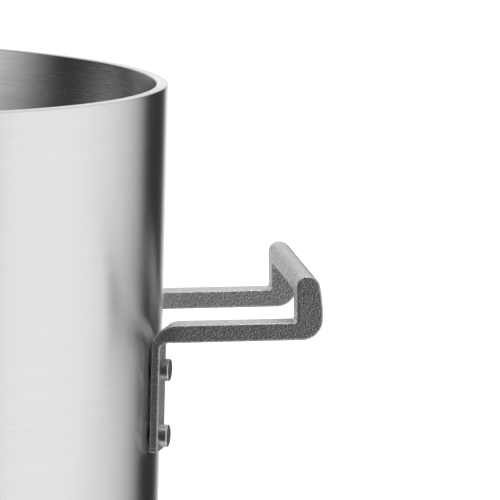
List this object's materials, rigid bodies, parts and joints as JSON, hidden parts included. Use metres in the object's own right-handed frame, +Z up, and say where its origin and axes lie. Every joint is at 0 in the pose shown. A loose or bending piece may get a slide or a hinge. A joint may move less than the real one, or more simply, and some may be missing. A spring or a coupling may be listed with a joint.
{
  "type": "candle melting pot",
  "caption": "Deep thick-walled steel melting pot with a flat rim and two riveted, square-cornered cast loop handles.",
  "frame": {"origin": "middle of the pot's flat underside, on the surface it stands on", "axes": "+Z up along the pot's axis, +X through the middle of the right-hand handle, +Y to the back"},
  "size_m": [0.331, 0.24, 0.22],
  "materials": {
    "pot_steel": "fine circumferential brushing, satin",
    "handle_steel": "grit-blasted cast stainless steel, matt and finely grained",
    "rivet_steel": "turned stainless steel, satin with a bright chamfer"
  },
  "bodies": {
    "root": {"pot_body": "pot_steel", "handle_right": "handle_steel", "handle_left": "handle_steel", "rivet_right_front_upper": "rivet_steel", "rivet_right_front_lower": "rivet_steel", "rivet_right_back_upper": "rivet_steel", "rivet_right_back_lower": "rivet_steel", "rivet_left_front_upper": "rivet_steel", "rivet_left_front_lower": "rivet_steel", "rivet_left_back_upper": "rivet_steel", "rivet_left_back_lower": "rivet_steel"}
  },
  "joints": []
}
